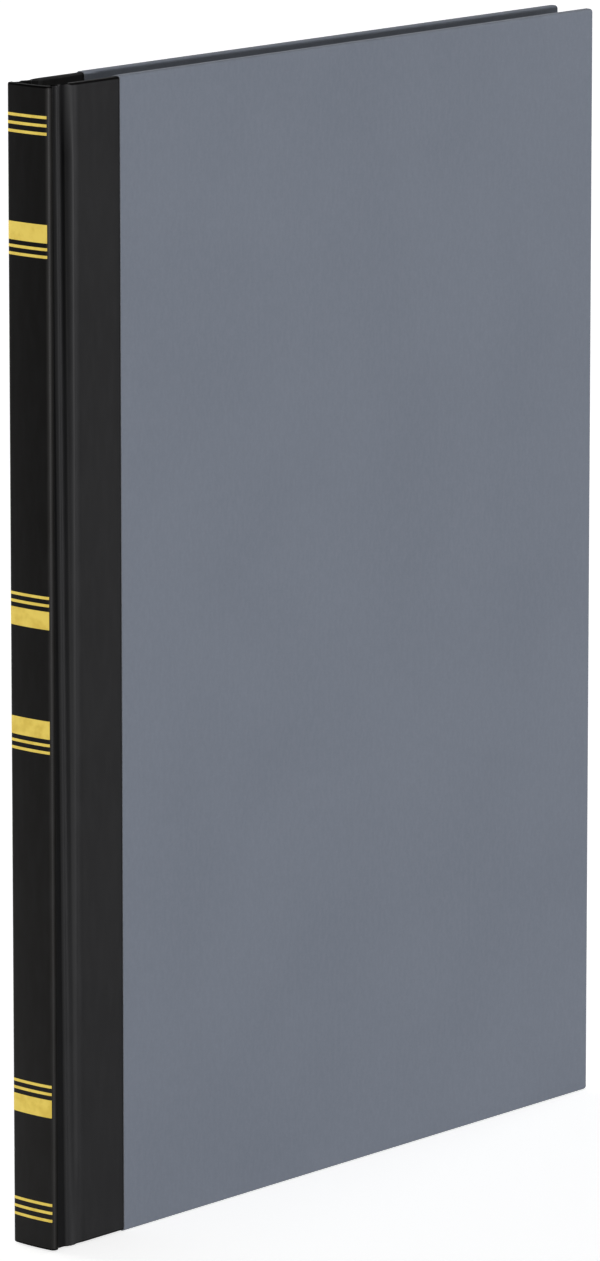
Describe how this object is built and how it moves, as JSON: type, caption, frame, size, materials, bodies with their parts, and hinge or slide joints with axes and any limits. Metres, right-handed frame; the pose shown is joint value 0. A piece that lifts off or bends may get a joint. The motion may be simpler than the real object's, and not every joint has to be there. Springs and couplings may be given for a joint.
{
  "type": "account ledger book",
  "caption": "Thin hardcover account ledger, quarter bound in black cloth and slate paper, with grooved joints, gold spine rules and sewn sections that open with its covers.",
  "frame": {"origin": "bottom centre of the closed book's box, on the surface it stands on", "axes": "+Z from tail to head, +X from spine to fore-edge, +Y from front cover to back cover"},
  "size_m": [0.1886, 0.0132, 0.263],
  "materials": {
    "siding": "matte slate cover paper",
    "cloth": "black bookcloth, fine weave",
    "board": "grey binder's board",
    "spine_card": "spine card",
    "endpaper": "white endpaper",
    "leaf": "ruled ledger paper",
    "tape": "linen tape",
    "mull": "open-weave mull",
    "kraft": "kraft paper",
    "thread": "linen thread",
    "gold_foil": "stamped gold foil, satin"
  },
  "bodies": {
    "spine": {"spine_cloth": "cloth", "spine_inlay": "spine_card", "sewing_tape_1": "tape", "sewing_tape_2": "tape", "sewing_tape_3": "tape", "kettle_stitch_head": "thread", "kettle_stitch_tail": "thread", "mull_lining": "mull", "kraft_lining": "kraft", "foil_tail_rule_1": "gold_foil", "foil_tail_rule_2": "gold_foil", "foil_tail_rule_3": "gold_foil", "foil_tail_outer_band": "gold_foil", "foil_tail_outer_line_1": "gold_foil", "foil_tail_outer_line_2": "gold_foil", "foil_tail_inner_band": "gold_foil", "foil_tail_inner_line_1": "gold_foil", "foil_tail_inner_line_2": "gold_foil", "foil_head_rule_1": "gold_foil", "foil_head_rule_2": "gold_foil", "foil_head_rule_3": "gold_foil", "foil_head_outer_band": "gold_foil", "foil_head_outer_line_1": "gold_foil", "foil_head_outer_line_2": "gold_foil", "foil_head_inner_band": "gold_foil", "foil_head_inner_line_1": "gold_foil", "foil_head_inner_line_2": "gold_foil"},
    "front_cover": {"front_board": "board", "front_siding": "siding", "front_cloth": "cloth", "front_pastedown": "endpaper"},
    "back_cover": {"back_board": "board", "back_siding": "siding", "back_cloth": "cloth", "back_pastedown": "endpaper"},
    "front_flyleaf": {"front_flyleaf": "endpaper"},
    "back_flyleaf": {"back_flyleaf": "endpaper"},
    "section_01": {"section_01": "leaf"},
    "section_02": {"section_02": "leaf"},
    "section_03": {"section_03": "leaf"},
    "section_04": {"section_04": "leaf"},
    "section_05": {"section_05": "leaf"},
    "section_06": {"section_06": "leaf"},
    "section_07": {"section_07": "leaf"},
    "section_08": {"section_08": "leaf"}
  },
  "joints": [
    {"name": "front_cover_open", "type": "hinge", "parent": "spine", "child": "front_cover", "pos_m": [-0.09383, -0.00658, 0], "axis": [0, 0, -1], "range_deg": [0, 180]},
    {"name": "back_cover_open", "type": "hinge", "parent": "spine", "child": "back_cover", "pos_m": [-0.09383, 0.00658, 0], "axis": [0, 0, 1], "range_deg": [0, 180]},
    {"name": "front_flyleaf_turn", "type": "hinge", "parent": "spine", "child": "front_flyleaf", "pos_m": [-0.09073, -0.0037, 0], "axis": [0, 0, -1], "range_deg": [0, 90]},
    {"name": "back_flyleaf_turn", "type": "hinge", "parent": "spine", "child": "back_flyleaf", "pos_m": [-0.09073, 0.0037, 0], "axis": [0, 0, 1], "range_deg": [0, 90]},
    {"name": "section_01_turn", "type": "hinge", "parent": "spine", "child": "section_01", "pos_m": [-0.09073, -0.0037, 0], "axis": [0, 0, -1], "range_deg": [0, 80]},
    {"name": "section_02_turn", "type": "hinge", "parent": "spine", "child": "section_02", "pos_m": [-0.09073, -0.0037, 0], "axis": [0, 0, -1], "range_deg": [0, 60]},
    {"name": "section_03_turn", "type": "hinge", "parent": "spine", "child": "section_03", "pos_m": [-0.09073, -0.0037, 0], "axis": [0, 0, -1], "range_deg": [0, 40]},
    {"name": "section_04_turn", "type": "hinge", "parent": "spine", "child": "section_04", "pos_m": [-0.09073, -0.0037, 0], "axis": [0, 0, -1], "range_deg": [0, 18]},
    {"name": "section_05_turn", "type": "hinge", "parent": "spine", "child": "section_05", "pos_m": [-0.09073, 0.0037, 0], "axis": [0, 0, 1], "range_deg": [0, 18]},
    {"name": "section_06_turn", "type": "hinge", "parent": "spine", "child": "section_06", "pos_m": [-0.09073, 0.0037, 0], "axis": [0, 0, 1], "range_deg": [0, 40]},
    {"name": "section_07_turn", "type": "hinge", "parent": "spine", "child": "section_07", "pos_m": [-0.09073, 0.0037, 0], "axis": [0, 0, 1], "range_deg": [0, 60]},
    {"name": "section_08_turn", "type": "hinge", "parent": "spine", "child": "section_08", "pos_m": [-0.09073, 0.0037, 0], "axis": [0, 0, 1], "range_deg": [0, 80]}
  ],
  "couplings": [
    {"joint": "front_flyleaf_turn", "follows": "front_cover_open", "ratio": 0.48},
    {"joint": "section_01_turn", "follows": "front_cover_open", "ratio": 0.44},
    {"joint": "section_02_turn", "follows": "front_cover_open", "ratio": 0.33},
    {"joint": "section_03_turn", "follows": "front_cover_open", "ratio": 0.21},
    {"joint": "section_04_turn", "follows": "front_cover_open", "ratio": 0.09},
    {"joint": "back_flyleaf_turn", "follows": "back_cover_open", "ratio": 0.48},
    {"joint": "section_08_turn", "follows": "back_cover_open", "ratio": 0.44},
    {"joint": "section_07_turn", "follows": "back_cover_open", "ratio": 0.33},
    {"joint": "section_06_turn", "follows": "back_cover_open", "ratio": 0.21},
    {"joint": "section_05_turn", "follows": "back_cover_open", "ratio": 0.09}
  ]
}
